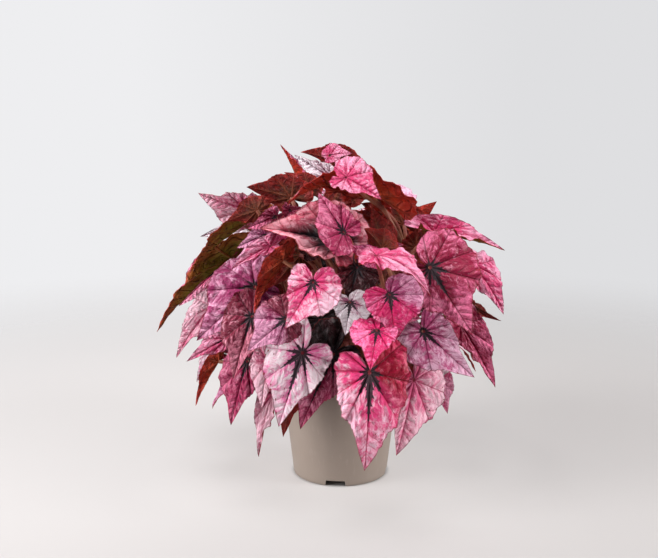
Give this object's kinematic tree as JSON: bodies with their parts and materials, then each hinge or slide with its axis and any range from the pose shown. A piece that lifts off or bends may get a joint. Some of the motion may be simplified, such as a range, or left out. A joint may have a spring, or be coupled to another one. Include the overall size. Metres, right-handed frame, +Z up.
{
  "type": "potted rex begonia",
  "caption": "Dome of pointed painted begonia leaves on fleshy stalks, hanging over the rim of a round plastic nursery pot.",
  "frame": {"origin": "middle of the pot's foot, on the surface the pot stands on", "axes": "+Z up along the pot's axis, -Y towards the front of the plant, +X to its right"},
  "size_m": [0.3702, 0.3994, 0.3741],
  "materials": {
    "plastic": "satin taupe plastic",
    "soil": "dark crumbly peat",
    "leaf": "satin painted leaf, pink and silver with a dark star"
  },
  "bodies": {
    "root": {"pot": "plastic", "soil": "soil", "shoot_01": "leaf", "shoot_02": "leaf", "shoot_03": "leaf", "shoot_04": "leaf", "shoot_05": "leaf", "shoot_06": "leaf", "shoot_07": "leaf", "shoot_08": "leaf", "shoot_09": "leaf", "shoot_10": "leaf", "shoot_11": "leaf", "shoot_12": "leaf", "shoot_13": "leaf", "shoot_14": "leaf"}
  },
  "joints": []
}
